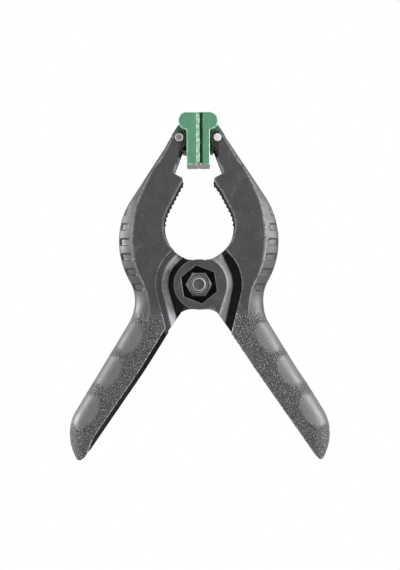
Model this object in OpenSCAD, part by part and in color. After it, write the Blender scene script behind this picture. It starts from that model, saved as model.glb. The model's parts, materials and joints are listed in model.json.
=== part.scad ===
// Plastic spring clamp. Two alike levers cross on one bolt, a torsion spring coiled round
// the bolt holds the jaws shut, and a pad swivels on a steel pin at the end of each jaw.
// The clamp stands on its handle tips: +Z runs up its length, Y is the pivot's axis.

/* [Outline] */
// Height of the pivot above the handle tips
pivot_height = 75.5; // [70:0.5:82]
// Reach of the knuckle, the widest place of the jaws, from the middle
knuckle_reach = 34.65; // [34:0.05:35.4]
// Height of the knuckle above the pivot
knuckle_rise = 18.7; // [17:0.1:20]
// Radius of the knuckle's back
knuckle_radius = 34.5; // [32:0.5:36]
// Reach of the waist, the narrowest place, from the middle
waist_reach = 27.9; // [27.2:0.1:28.6]
// Depth of the waist below the pivot
waist_drop = 6.7; // [6:0.1:8]
// Radius with which the back flares from the waist into the handle
flare_radius = 19.5; // [14:0.5:24]
// Reach of the heel, the widest place of the handles, from the middle
heel_reach = 56.75; // [54:0.25:59.5]
// Height of the heel above the handle tips
heel_rise = 11; // [10:0.5:12.5]
// Radius of the heel
heel_radius = 18.4; // [16.8:0.2:20]
// Width of the flat that each handle tip stands on
foot_flat = 1.5; // [1:0.1:2.5]
// Reach of the crotch, where a handle's open edge meets the ear
crotch_reach = 7.7; // [7:0.1:8.4]
// Depth of the crotch below the pivot
crotch_drop = 12.3; // [11.8:0.1:13]

/* [Jaws] */
// Radius of the round throat between the jaws
throat_radius = 15; // [14.4:0.1:15.3]
// Height of the throat's centre above the pivot
throat_rise = 25.3; // [24.8:0.1:26]
// Reach of the brow, the round upper end of the toothed edge
brow_reach = 6.7; // [6:0.1:7.4]
// Height of the brow above the pivot
brow_rise = 45.2; // [44:0.2:46]
// Radius of the brow
brow_round = 1.2; // [0.8:0.1:1.6]
// Reach of the notch above the brow
notch_reach = 11; // [10.2:0.1:11.8]
// Height of the notch above the pivot
notch_rise = 48.2; // [47.4:0.1:49]
// Spacing of the round teeth down the throat
tooth_pitch = 2.35; // [2:0.05:2.6]
// Radius of a tooth
tooth_radius = 0.7; // [0.5:0.05:0.9]
// How far a tooth's centre stands out of the web
tooth_proud = 0.25; // [0:0.05:0.4]
// Thickness of the toothed web that closes the throat
web = 2.2; // [1.8:0.1:2.8]
// Depth of the web below the rims of the side walls
rim = 0.25; // [0.15:0.05:0.4]

/* [Walls] */
// Depth of a lever across its side faces
lever_depth = 28; // [27:0.5:30]
// Depth of a lever at the fork that holds the pad
fork_depth = 25; // [23:0.5:26]
// Depth of a handle at its tip
tip_depth = 26; // [24:0.5:28]
// Thickness of a lever's side walls
wall = 2.6; // [2.2:0.1:3]
// Thickness of the spine that joins the side walls
spine = 2.8; // [2.4:0.1:3.2]
// Setback of the shorter side wall along a handle
wall_setback = 2.4; // [1.6:0.1:3]
// Width of the rounded band along the back, at the fork
fork_band = 1.4; // [1:0.1:2]
// Width of the rounded band at the pivot's height
waist_band = 7.4; // [6:0.2:8]
// Width of the rounding along the handle
handle_band = 10; // [8:0.2:11]
// Width of a grip recess across the knuckle
grip_width = 2.8; // [2.2:0.1:3.4]
// Spacing of the grip recesses
grip_pitch = 6.5; // [5.5:0.1:7.5]
// Depth of a grip recess
grip_depth = 0.7; // [0.4:0.1:1]
// Depth of the rebate along a jaw's end
rebate = 1; // [0.6:0.1:1.4]

/* [Pivot] */
// Diameter of the bolt's bores
bolt_d = 6; // [5:0.5:6]
// Clearance of the bolt in the bores that it passes through
bolt_gap = 0.05; // [0.02:0.01:0.1]
// Width of the nut and of the bolt's head across the flats
nut_flats = 10; // [9:0.5:10.5]
// Height of the nut
nut_height = 5; // [4:0.2:5.2]
// Height of the bolt's head
head_height = 4; // [3.5:0.1:4.5]
// Length of bolt that stands out of the nut
bolt_proud = 0.4; // [0.2:0.1:0.5]
// Width of the hexagonal recess across the flats
recess_flats = 14.4; // [13:0.1:14.8]
// Turn of the hexagonal recess
recess_turn = 8.3; // [0:0.1:30]
// Depth of the hexagonal recess
recess_depth = 5.6; // [5.5:0.1:5.8]
// Clearance between the coil and the ears beside it
coil_clearance = 0.3; // [0.2:0.05:0.5]
// Radius of the rounded flank of an outer ear's boss
boss_round = 2.6; // [1.8:0.1:2.8]
// Thickness of an outer ear under its recess
ear_floor = 2.5; // [2.3:0.1:2.6]
// Thickness of an inner ear
inner_ear = 2.6; // [2.4:0.1:2.8]
// Running gap between two ears
ear_gap = 0.25; // [0.2:0.05:0.3]
// Radius of an ear's round end
ear_radius = 11.3; // [11:0.1:11.5]
// Width of the gap round an ear's end
pocket_gap = 0.9; // [0.7:0.1:1.1]
// Radius of the rounding beside that gap
pocket_round = 3.3; // [2.6:0.1:3.5]
// Radius of the step round the pivot
ring_radius = 18.2; // [17.8:0.1:18.6]
// Depth of that step on the side of the inner ear
ring_step = 0.6; // [0.4:0.1:0.8]
// Radius of the boss that centres the spring's coil
spigot_radius = 5.2; // [4.6:0.1:5.3]
// Length of that boss
spigot_length = 2.6; // [1.5:0.1:3.5]

/* [Spring] */
// Diameter of the spring's wire
wire_d = 2.3; // [2:0.05:2.35]
// Radius of the coil at the middle of the wire
coil_radius = 6.75; // [6.6:0.05:7]
// Rise of the coil from turn to turn
coil_pitch = 2.8; // [2.78:0.01:2.82]
// Whole turns of the coil, besides the part turn between its legs
coil_turns = 3; // [2:1:3]
// Depth below the pivot that the legs reach
leg_drop = 30; // [26:1:34]
// Gap between a leg's end and the spine that it presses on
leg_gap = 0.3; // [0.2:0.05:0.4]

/* [Pads] */
// Reach of a pad's pin from the middle
pin_reach = 8.3; // [8:0.1:8.6]
// Height of the pins above the pivot
pin_rise = 63.5; // [62:0.1:65]
// Diameter of a pin
pin_d = 3.5; // [3:0.1:3.8]
// Clearance round a pin
pin_gap = 0.04; // [0.02:0.01:0.08]
// Radius of the fork's round tips
fork_radius = 3; // [2.8:0.05:3.2]
// Clearance between a pad and its fork
pad_gap = 0.3; // [0.3:0.05:0.4]
// Gap between each gripping face and the middle
parting = 0.1; // [0.05:0.05:0.2]
// Depth of a pad
pad_depth = 26; // [24:0.5:28]
// Height of a pad's gripping face
pad_height = 22.7; // [20:0.1:24]
// Height of a pad's top above its pin
pad_top = 10.95; // [10.5:0.05:11.5]
// Height of a pad's head
head_rise = 7.6; // [7:0.1:7.8]
// Reach of a pad's head from the middle
head_reach = 8.6; // [8.2:0.1:9.2]
// Width of the bevels along a gripping face
pad_bevel = 1.8; // [1.2:0.1:2.2]
// Reach of the stop below a pad's lug
stop_reach = 7; // [6.4:0.1:7.4]
// Depth of the stop below the pin
stop_drop = 8.4; // [7.4:0.1:9]

/* [Hidden] */
$fn = 96;
over = 0.5;         // overrun of every cut
bite = 1;           // how far one form of a lever sinks into the next, so that they join
slice = 2.8;        // rise of a plain slice of a lever
grip_edge = 0.35;   // rise of a grip recess's sloping edge
least_slice = 0.15; // slices closer than this are made one
least_floor = 0.3;  // depth left to the channel where a lever is too thin for one
wall_fade = 8;      // length in which the shorter wall drops back
band_fade = 30;     // depth below the pivot at which the handle has its full rounding
chamfer = 0.8;      // chamfer of the bolt's end
corner_steps = 5;
brow_steps = 3;
roll_share = 0.9;   // depth of the rounding along the back, as a share of its width
grip_count = 6;
tooth_count = 9;
fine_count = 7;
fine_share = 0.55;  // size and spacing of the lowest teeth, as a share of the others
nylon = [0.17, 0.17, 0.18];
steel = [0.62, 0.61, 0.6];
green = [0.25, 0.55, 0.38];

// The outline lies in the plane of x and height above the pivot. A lever's back is five
// circles joined by tangent lines, or straight on: fork tip, knuckle, waist, flare and heel.
pin_at = [pin_reach, pin_rise];
knuckle_at = [knuckle_reach - knuckle_radius, knuckle_rise];
waist_in = knuckle_reach - waist_reach;
waist_down = knuckle_rise + waist_drop;
waist_radius = (waist_in * waist_in + waist_down * waist_down) / (2 * waist_in) - knuckle_radius;
waist_at = [waist_reach + waist_radius, -waist_drop];
flare_at = [waist_reach + flare_radius, -waist_drop];
heel_at = [heel_reach - heel_radius, heel_rise - pivot_height];
throat_at = [0, throat_rise];
brow_at = [brow_reach + brow_round, brow_rise];
notch_at = [notch_reach, notch_rise];

// Lean from the vertical of the line that leaves one circle and touches the next,
// where reach is the difference of their radii, or their sum on opposite sides
function tangent_lean(from, to, reach) =
    let (run = to - from) atan2(run[1], run[0]) - acos(reach / norm(run));
function normal(lean) = [cos(lean), sin(lean)];

arm_lean = tangent_lean(knuckle_at, pin_at, knuckle_radius - fork_radius);
handle_lean = tangent_lean(heel_at, flare_at, heel_radius + flare_radius);
tooth_lean = tangent_lean(throat_at, brow_at, throat_radius + brow_round);
shelf_lean = 180 - tangent_lean([-notch_at[0], notch_at[1]], [-brow_at[0], brow_at[1]], brow_round);
neck_lean = tangent_lean(notch_at, pin_at, fork_radius);
swell_lean = atan2(waist_down, waist_at[0] - knuckle_at[0]);

arm_top = pin_rise + fork_radius * sin(arm_lean);
arm_foot = knuckle_rise + knuckle_radius * sin(arm_lean);
swell_foot = knuckle_rise - knuckle_radius * sin(swell_lean);
handle_top = -waist_drop - flare_radius * sin(handle_lean);
handle_foot = heel_at[1] + heel_radius * sin(handle_lean);
neck_top = pin_rise - fork_radius * sin(neck_lean);
tooth_foot = throat_rise + throat_radius * sin(tooth_lean);
brow_foot = brow_rise - brow_round * sin(tooth_lean);
brow_top = brow_rise - brow_round * sin(shelf_lean);

// Half the width of a circle at a distance above or below its centre
function chord(radius, away) = sqrt(max(radius * radius - away * away, 0));
// Reach at height h of the line that touches a circle
function touching(centre, radius, lean, h) = centre[0] + (radius - (h - centre[1]) * sin(lean)) / cos(lean);
function mix(a, b, t) = a + (b - a) * t;
function slant(h) = norm([1, (back(h + least_slice) - back(h - least_slice)) / (2 * least_slice)]);
function smooth(t) = let (u = min(max(t, 0), 1)) u * u * (3 - 2 * u);

// Reach of a lever's back at height h above the pivot
function back(h) =
    h > arm_top ? pin_reach + chord(fork_radius, h - pin_rise) :
    h > arm_foot ? touching(knuckle_at, knuckle_radius, arm_lean, h) :
    h > swell_foot ? knuckle_at[0] + chord(knuckle_radius, h - knuckle_rise) :
    h > -waist_drop ? waist_at[0] - chord(waist_radius, h + waist_drop) :
    h > handle_top ? flare_at[0] - chord(flare_radius, h + waist_drop) :
    h > handle_foot ? touching(heel_at, heel_radius, handle_lean, h) :
    heel_at[0] + chord(heel_radius, h - heel_at[1]);

foot_reach = back(-pivot_height) - foot_flat;
throat_foot = throat_rise - chord(throat_radius, crotch_reach);

// The coil climbs from the right leg, at the front, to the left leg, at the back. Both legs
// run down a handle's channel and press on its spine.
leg_end = [back(-leg_drop) - (spine + leg_gap + wire_d / 2) * slant(-leg_drop), -leg_drop];
leg_angle = atan2(leg_end[1], leg_end[0]) + acos(coil_radius / norm(leg_end));
coil_sweep = 180 - 2 * leg_angle + 360 * coil_turns;
coil_rings = ceil(coil_sweep / 45);
coil_half = coil_pitch * coil_sweep / 360 / 2;

// Along the bolt, from the coil outwards: inner ear, running gap, outer ear and its recess
inner_back = coil_half + wire_d / 2 + coil_clearance;
inner_face = inner_back + inner_ear;
outer_back = inner_face + ear_gap;
outer_face = outer_back + ear_floor;
boss_half = outer_face + recess_depth;

// Reach of the edges of a lever's side walls at height h
function edge(h) =
    h > neck_top ? pin_reach - chord(fork_radius, h - pin_rise) :
    h > notch_rise ? touching(notch_at, 0, neck_lean, h) :
    h > brow_top ? touching(notch_at, 0, shelf_lean, h) :
    h > brow_foot ? brow_at[0] - chord(brow_round, h - brow_rise) :
    h > tooth_foot ? touching(throat_at, throat_radius, tooth_lean, h) :
    h > throat_foot ? chord(throat_radius, h - throat_rise) :
    h > -crotch_drop ? crotch_reach :
    mix(foot_reach, crotch_reach, (h + pivot_height) / (pivot_height - crotch_drop));
function short_edge(h) = edge(h) + wall_setback * smooth((-crotch_drop - h) / wall_fade)
    * smooth((h + pivot_height) / heel_rise);

// Grip recesses step down the knuckle from its toothed side's foot
grip_top = tooth_foot;
function in_grip(h) = len([for (i = [0:grip_count - 1])
    if (abs(h - grip_top + i * grip_pitch) < grip_width / 2 + grip_edge / 2) i]) > 0;

function half_depth(h) = mix(lever_depth, h > 0 ? fork_depth : tip_depth,
    h > 0 ? smooth((h - ring_radius) / (pin_rise - ring_radius))
          : smooth((-h - ring_radius) / (pivot_height - ring_radius))) / 2;
function band(h) = h > 0 ? mix(waist_band, fork_band, h / pin_rise)
                         : mix(waist_band, handle_band, smooth(-h / band_fade));

// One horizontal slice of a lever: its outer contour, then the contour of its channel.
// Both run from the edge of the long wall round the back to the edge of the short one.
// A grip recess is cut into the rounding, and leaves both of its ends as they are.
function corner(i, width, depth, cut) =
    let (a = 90 * i / corner_steps, c = i > 0 && i < corner_steps ? cut : 0)
    [(width - c) * sin(a) - width, (depth - c) * cos(a) - depth];
function contour(h, long_edge, near_edge, reach, half, width, depth, cut = 0) = concat(
    [[long_edge, h, half]],
    [for (i = [0:corner_steps]) let (p = corner(i, width, depth, cut)) [reach + p[0], h, half + p[1]]],
    [for (i = [corner_steps:-1:0]) let (p = corner(i, width, depth, cut)) [reach + p[0], h, -half - p[1]]],
    [[near_edge, h, -half]]);
function section(h) =
    let (
        long_edge = edge(h),
        near_edge = short_edge(h),
        cut = in_grip(h) ? grip_depth : 0,
        reach = back(h),
        width = min(band(h), (reach - near_edge) * roll_share),
        depth = width * roll_share,
        half = half_depth(h),
        floor_at = max(reach - spine * slant(h), near_edge + least_floor),
        room = floor_at - near_edge,
        inner_width = min(max(width - spine, bite), room / 2),
        inner_depth = max(depth - wall, bite)
    )
    concat(contour(h, long_edge, near_edge, reach, half, width, depth, cut),
           contour(h, long_edge, near_edge, floor_at, half - wall, inner_width, inner_depth));

function sorted(list) = len(list) < 2 ? list :
    let (pivot = list[floor(len(list) / 2)])
    concat(sorted([for (v = list) if (v < pivot) v]), [pivot],
           sorted([for (v = list) if (v > pivot) v]));
function steps(from, to) = let (n = ceil((to - from) / slice)) [for (i = [0:n]) mix(from, to, i / n)];
tip_angles = [15, 30, 45, 60, 78];
levels = sorted(concat(
    steps(-pivot_height, -crotch_drop), steps(-crotch_drop, throat_foot),
    steps(throat_foot, brow_foot), [brow_rise], steps(brow_top, notch_rise), steps(notch_rise, pin_rise),
    [for (a = tip_angles) pin_rise + fork_radius * sin(a)],
    [for (i = [0:grip_count - 1], side = [-1, 1], out = [0, 1])
        grip_top - i * grip_pitch + side * (grip_width / 2 + out * grip_edge)]));
slices = [for (i = [0:len(levels) - 1])
    if (i == 0 || levels[i] - levels[i - 1] > least_slice) levels[i]];

// Skins a stack of closed rings of points, and closes the first and last ring with strips
// between the two halves of the ring
function quad(a, b, c, d) = [[a, b, c], [a, c, d]];
module skin(rings) {
    n = len(rings[0]);
    m = n / 2;
    last = len(rings) - 1;
    // The ring runs along the outer contour and back along the inner one.
    order = concat([for (i = [0:m - 1]) i], [for (i = [m - 1:-1:0]) m + i]);
    sides = [for (k = [0:last - 1], i = [0:n - 1])
        let (a = order[i], b = order[(i + 1) % n])
        each quad(k * n + a, (k + 1) * n + a, (k + 1) * n + b, k * n + b)];
    caps = [for (i = [0:m - 2]) each concat(
        quad(i, i + 1, m + i + 1, m + i),
        quad(last * n + i, last * n + m + i, last * n + m + i + 1, last * n + i + 1))];
    polyhedron([for (r = rings) each r], concat(sides, caps), convexity = 10);
}

module cut_disc(radius, from, to) {
    translate([0, 0, from]) cylinder(r = radius, h = to - from);
}

// The plane region of an ear's neck: the side of its own lever, between throat and crotch
module neck_plan(radius) {
    difference() {
        intersection() {
            circle(r = radius);
            polygon([[0, throat_rise], [throat_rise, throat_rise],
                     [edge(-throat_rise) + rim + throat_rise, -throat_rise],
                     [edge(-throat_rise) + rim, -throat_rise],
                     [crotch_reach + rim, -crotch_drop], [ear_radius / 2, rim - ear_radius],
                     [0, rim - ear_radius]]);
        }
        throat_plan(rim);
    }
}
module throat_plan(grow) { translate(throat_at) circle(r = throat_radius + grow); }
module ear_plan(radius) {
    neck_plan(radius);
    difference() {
        circle(r = ear_radius);
        throat_plan(rim);
    }
}
module layer(from, to) { translate([0, 0, from]) linear_extrude(to - from) children(); }

groove_floor = outer_back + ear_floor * 0.6;
boss_radius = ear_radius + boss_round;
pocket_radius = ear_radius + pocket_gap;
half = lever_depth / 2;
skin_face = half - ring_step;

// Outer ear: a boss with a rounded flank stands in a groove inside the ring's step.
module outer_ear() {
    layer(outer_back, groove_floor) ear_plan(ring_radius + bite);
    layer(outer_back, half - bite) difference() {
        neck_plan(ring_radius + bite);
        circle(r = ring_radius);
    }
    layer(outer_back, boss_half) difference() {
        circle(r = ear_radius);
        throat_plan(rim);
    }
    intersection() {
        layer(outer_back, boss_half) neck_plan(boss_radius);
        translate([0, 0, outer_back]) rotate_extrude() {
            square([ear_radius, boss_half - outer_back]);
            square([boss_radius, boss_half - boss_round - outer_back]);
            translate([ear_radius, boss_half - boss_round - outer_back])
                intersection() {
                    circle(r = boss_round);
                    square(boss_round);
                }
        }
    }
}

// Inner ear: the side wall rounds over into a pocket, and the ear lies at its bottom.
module inner_ear_form() {
    layer(inner_back, inner_face) ear_plan(ring_radius + bite);
    layer(skin_face - wall / 2, skin_face) difference() {
        neck_plan(ring_radius + bite);
        circle(r = pocket_radius + pocket_round - rim);
    }
    intersection() {
        layer(inner_back, skin_face) neck_plan(pocket_radius + pocket_round);
        translate([0, 0, inner_back]) rotate_extrude()
            translate([pocket_radius, 0]) {
                square([pocket_round, skin_face - pocket_round - inner_back]);
                translate([pocket_round, skin_face - pocket_round - inner_back])
                    intersection() {
                        circle(r = pocket_round);
                        translate([-pocket_round, 0]) square(pocket_round);
                    }
            }
    }
    cut_disc(spigot_radius, inner_back - spigot_length, inner_back + bite);
}

// The web closes the throat between the walls. Round teeth run across it.
tooth_at = throat_at + (throat_radius + rim) * normal(tooth_lean);
brow_in = brow_at - (brow_round - rim) * normal(tooth_lean);
tooth_run = norm(brow_in - tooth_at);
// Place down the throat at a distance from the brow, along the line and then the circle,
// and standing out of the web by proud
function down_throat(s, proud) =
    s < tooth_run ? brow_in + (tooth_at - brow_in) * s / tooth_run - proud * normal(tooth_lean) :
    let (a = tooth_lean - (s - tooth_run) / (throat_radius + rim) * 180 / PI)
    throat_at + (throat_radius + rim - proud) * normal(a);
module web_plan() {
    difference() {
        union() {
            intersection() {
                difference() {
                    throat_plan(rim + web);
                    throat_plan(rim);
                }
                polygon([throat_at, throat_at + 2 * throat_radius * normal(tooth_lean),
                         [2 * throat_radius, 0], [0, 0]]);
            }
            polygon([tooth_at,
                     for (i = [0:brow_steps]) brow_at
                         - (brow_round - rim) * normal(mix(tooth_lean, shelf_lean, i / brow_steps)),
                     notch_at + [rim, -rim], notch_at + [rim, -rim - web],
                     brow_at + web / 2 * normal(shelf_lean), tooth_at + web * normal(tooth_lean)]);
            for (i = [0:tooth_count - 1])
                translate(down_throat(tooth_pitch * (i + 0.5), tooth_proud)) circle(r = tooth_radius);
            for (i = [0:fine_count - 1])
                translate(down_throat(tooth_pitch * (tooth_count + fine_share * (i + 0.5)),
                                      tooth_proud * fine_share))
                    circle(r = tooth_radius * fine_share);
        }
        circle(r = ear_radius + ear_gap + rim);
    }
}

channel_half = fork_depth / 2 - wall;
web_half = fork_depth / 2 - bite / 2;

module lever() {
    difference() {
        union() {
            difference() {
                skin([for (h = slices) section(h)]);
                cut_disc(ring_radius, -half - over, half + over);
            }
            difference() {
                layer(-web_half, web_half) web_plan();
                layer(groove_floor, half + over) difference() {
                    circle(r = ring_radius);
                    circle(r = boss_radius);
                }
            }
            outer_ear();
            mirror([0, 0, 1]) inner_ear_form();
        }
        // Bolt's bore, and the hexagonal recess for the nut or the head
        cut_disc(bolt_d / 2, -half, boss_half + over);
        translate([0, 0, outer_face]) rotate(90 + recess_turn)
            cylinder(d = recess_flats / cos(30), h = recess_depth + over, $fn = 6);
        // Pin's bore through the fork, room for the pad's lug, and the rebate at each side
        translate(pin_at) {
            cut_disc(pin_d / 2 + pin_gap / 2, -half, half);
            layer(-channel_half - rim / 2, channel_half + rim / 2) {
                circle(r = fork_radius + pad_gap);
                translate([-fork_radius - pad_gap, 0]) square([4 * fork_radius, 4 * fork_radius]);
            }
        }
        for (side = [0, 1]) mirror([0, 0, side])
            layer(fork_depth / 2 - rebate, half + over)
                translate([0, notch_rise + fork_radius]) square([pin_reach, pin_rise - notch_rise - fork_radius]);
    }
}

// A form drawn in the plane of x and height, with its front towards the last axis,
// is stood up on the handle tips.
module upright() { translate([0, 0, pivot_height]) rotate([90, 0, 0]) children(); }

module right_lever() { color(nylon) upright() lever(); }
module left_lever() { color(nylon) rotate([0, 0, 180]) upright() lever(); }

// Hexagon with both ends chamfered on its corners
module hexagon(height) {
    corner = nut_flats / cos(30) / 2;
    intersection() {
        cylinder(r = corner, h = height, $fn = 6);
        rotate_extrude() polygon([[0, 0], [nut_flats / 2, 0], [corner, (corner - nut_flats / 2) / 2],
            [corner, height - (corner - nut_flats / 2) / 2], [nut_flats / 2, height], [0, height]]);
    }
}
shank_r = bolt_d / 2 - bolt_gap;
module pivot_bolt() {
    reach = outer_face + nut_height + bolt_proud;
    color(steel) upright() {
        translate([0, 0, -outer_face - head_height]) hexagon(head_height);
        rotate_extrude() polygon([[0, -outer_face - bite], [shank_r, -outer_face - bite],
            [shank_r, reach - chamfer], [shank_r - chamfer, reach], [0, reach]]);
    }
}
module pivot_nut() {
    color(steel) upright() translate([0, 0, outer_face]) difference() {
        hexagon(nut_height);
        cut_disc(bolt_d / 2, -over, nut_height + over);
    }
}

// A ring's centre is coil_radius out at an angle, and moved along the wire by run.
leg_length = sqrt(norm(leg_end) * norm(leg_end) - coil_radius * coil_radius);
function wire_place(a, run, w) = [coil_radius * cos(a) + run * sin(a), coil_radius * sin(a) - run * cos(a), w];
wire_stops = concat(
    [for (s = [1, 0.5]) [leg_angle, s * leg_length, coil_half]],
    [for (i = [0:coil_rings]) [mix(leg_angle, leg_angle + coil_sweep, i / coil_rings), 0,
                               mix(coil_half, -coil_half, i / coil_rings)]],
    [for (s = [0.5, 1]) [180 - leg_angle, -s * leg_length, -coil_half]]);
function wire_ring(a, run, w) = let (centre = wire_place(a, run, w))
    [for (i = [0:5]) centre + wire_d / 2 * [cos(60 * i) * cos(a), cos(60 * i) * sin(a), sin(60 * i)]];
wire_rings = [for (stop = wire_stops) wire_ring(stop[0], stop[1], stop[2])];

// Least gap of the coil to itself, measured between the points of its ring and one turn on
function coil_ring(a) = wire_ring(a, 0, coil_half - coil_pitch * (a - leg_angle) / 360);
spring_gap = min([for (a = [leg_angle:15:leg_angle + coil_sweep - 360],
                       p = coil_ring(a), q = coil_ring(a + 360)) norm(p - q)]);
echo(least_gap_of_the_spring_to_itself = spring_gap);

module tube(rings) {
    n = len(rings[0]);
    last = len(rings) - 1;
    sides = [for (k = [0:last - 1], i = [0:n - 1])
        each quad(k * n + i, (k + 1) * n + i, (k + 1) * n + (i + 1) % n, k * n + (i + 1) % n)];
    caps = [for (i = [1:n - 2]) each [[0, i, i + 1], [last * n, last * n + i + 1, last * n + i]]];
    polyhedron([for (r = rings) each r], concat(sides, caps), convexity = 10);
}
module torsion_spring() { color(steel) upright() tube(wire_rings); }

// A pad: a bar with a round head, and a lug that fills the fork and carries the pin
bar = pin_reach - fork_radius - pad_gap;
lug_half = channel_half - pad_gap;
pad_top_at = pin_rise + pad_top;
head_foot = pad_top_at - head_rise;
module pad() {
    difference() {
        union() {
            layer(-pad_depth / 2, pad_depth / 2) {
                translate([parting, pad_top_at - pad_height]) square([bar - parting, pad_height]);
                translate([parting, head_foot]) square([head_reach - head_rise / 2 - parting, head_rise]);
                translate([head_reach - head_rise / 2, head_foot + head_rise / 2]) circle(d = head_rise);
            }
            layer(-lug_half, lug_half) {
                translate(pin_at) circle(r = fork_radius);
                polygon([[bar - parting, pad_top_at - head_rise / 2],
                         [touching(pin_at, fork_radius, arm_lean, head_foot + head_rise / 4),
                          head_foot + head_rise / 4],
                         pin_at + fork_radius * normal(arm_lean), pin_at,
                         pin_at - [0, fork_radius], [stop_reach, pin_rise - stop_drop],
                         [bar - parting, pin_rise - stop_drop]]);
            }
        }
        translate(pin_at) cut_disc(pin_d / 2 + pin_gap, -half, half);
        for (side = [0, 1]) mirror([0, 0, side])
            translate([0, pad_top_at - pad_height - over, pad_depth / 2]) rotate([-90, 0, 0])
                linear_extrude(pad_height + 2 * over)
                    polygon([[-over, over], [parting + pad_bevel + over, -over],
                             [parting + pad_bevel + over, -2 * over], [-over, -2 * over]]);
    }
}
module right_pad() { color(green) upright() pad(); }
module left_pad() { color(green) rotate([0, 0, 180]) upright() pad(); }

module pad_pin() { translate(pin_at) cut_disc(pin_d / 2, -fork_depth / 2, fork_depth / 2); }
module right_pad_pin() { color(steel) upright() pad_pin(); }
module left_pad_pin() { color(steel) rotate([0, 0, 180]) upright() pad_pin(); }

left_lever();
right_lever();
pivot_bolt();
pivot_nut();
torsion_spring();
left_pad();
right_pad();
left_pad_pin();
right_pad_pin();
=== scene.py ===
"""Looks of the plastic spring clamp: materials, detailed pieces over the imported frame, light and camera."""
import json
from math import acos, atan2, ceil, cos, exp, hypot, pi, radians, sin, sqrt
from types import SimpleNamespace

import bmesh
import bpy
from mathutils import Matrix, Vector


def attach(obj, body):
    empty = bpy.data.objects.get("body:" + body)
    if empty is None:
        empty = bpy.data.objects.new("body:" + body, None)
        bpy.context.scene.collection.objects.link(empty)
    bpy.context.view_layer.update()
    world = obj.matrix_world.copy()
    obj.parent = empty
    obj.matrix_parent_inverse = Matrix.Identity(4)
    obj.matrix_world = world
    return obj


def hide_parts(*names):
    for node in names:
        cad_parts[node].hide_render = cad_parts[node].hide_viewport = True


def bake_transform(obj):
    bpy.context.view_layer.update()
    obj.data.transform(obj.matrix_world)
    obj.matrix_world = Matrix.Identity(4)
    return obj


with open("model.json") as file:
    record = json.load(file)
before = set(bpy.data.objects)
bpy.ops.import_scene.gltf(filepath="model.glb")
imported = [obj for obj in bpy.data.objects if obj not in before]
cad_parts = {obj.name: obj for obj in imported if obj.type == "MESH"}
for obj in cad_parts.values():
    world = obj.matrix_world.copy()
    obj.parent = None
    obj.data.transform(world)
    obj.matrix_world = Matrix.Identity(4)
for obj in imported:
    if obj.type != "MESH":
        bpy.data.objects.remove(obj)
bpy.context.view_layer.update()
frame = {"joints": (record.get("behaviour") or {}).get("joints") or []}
scene = bpy.context.scene
MM = 0.001
joint_at = {j["name"]: [round(c / MM, 3) for c in j["pos_m"]] for j in frame["joints"]}

# Sizes in millimetres: x from the middle, h above the pivot and w towards the front, on the right
# lever. The left one is the same moulding, turned half a turn about the clamp's length, so its front
# is at negative w. A fade is the run over which a form comes in, a share a part of what it follows.

# The levers' outline
pivot_height = joint_at["jaw_pivot"][2]
pin_reach = joint_at["right_pad_swivel"][0]
pin_rise = joint_at["right_pad_swivel"][2] - pivot_height
knuckle_reach, knuckle_rise, knuckle_radius = 34.65, 18.7, 34.5
waist_reach, waist_drop, flare_radius = 27.9, 6.7, 19.5
heel_reach, heel_rise, heel_radius = 56.75, 11.0, 18.4
foot_flat, foot_zone = 1.5, 3.0
crotch_reach, crotch_drop = 7.7, 12.3
throat_radius, throat_rise = 15.0, 25.3
brow_reach, brow_rise, brow_round = 6.7, 45.2, 1.2
notch_reach, notch_rise = 11.0, 48.2
fork_radius = 3.0
ring_radius, ring_step = 18.5, 0.6
RING_LOW = -14

# How far each lever departs from that outline: its handle's edge swells, its arm or handle is
# trimmed between two heights as (amount, low end, fade, high end, fade), and its throat is slack
edge_swell, swell_fade, foot_swell_share = {"right": 0.7, "left": 1.4}, 30.0, 0.35
TRIMS = {"left": (0.5, 28.0, 12.0, pin_rise, 6.0), "right": (0.4, -44.0, 8.0, -8.0, 8.0)}
throat_slack = {"right": 0.7, "left": 0.15}
slack_foot, slack_foot_fade, slack_brow_fade = 12.0, 8.0, 5.0

# Walls, and the rounding between a lever's face and its back
lever_depth, fork_depth, tip_depth = 28.0, 25.0, 26.0
wall, spine, web, rim = 2.6, 2.8, 2.2, 0.25
wall_setback, wall_fade = 2.4, 8.0
least_room, least_rounding = 0.3, 1.0
fork_band, waist_band, handle_band, band_fade = 1.0, 5.7, 10.0, 30.0
band_top, band_rise = 50.0, 28.0
roll_share = 0.9
crisp_foot, crisp_fade = -22.0, 20.0
CRISP_PULL_SHARES = (-0.12, 0.6)
SLOPE_STEP = 0.1

# The step in the fork's faces, beside the pads
rebate, rebate_rise = 1.0, 4.0
step_at, step_run = pin_reach + 0.3, 0.12
least_rebate, least_near = 0.15, 0.1

# Finger grips in the rounding at the knuckle, from the top down
grip_top, grip_pitch, grip_width, grip_depth = 31.1, 6.5, 3.1, 1.0
# The last size on the next line is the breadth of painted shade along each grip's upper edge
grip_end, grip_start, grip_fade, grip_shift, grip_shade_band = 1.3, 0.3, 0.35, 0.35, 0.32
# Each is a reach, as a share of the rounding, and a share of the depth
GRIPS = ((0.4, 0.5), (0.66, 0.8), (0.86, 1.0), (0.94, 1.0), (0.93, 1.0), (0.86, 1.0))
GRIP_SIDE_SHARE = 0.2

# Smooth ovals on the handles, as (reach, rise, half length, half breadth), and the grain round them
OVALS = ((29.4, -23.0, 7.0, 4.3), (38.7, -37.3, 7.2, 4.4), (48.7, -54.6, 7.8, 4.5))
OVAL_LEAN = (0.521, 0.853)
OVAL_RIM, OVAL_FADE_SHARE = 1.12, 0.3
grain_top, grain_fade, GRAIN_LEAN = -11.0, 7.0, 0.3

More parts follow.
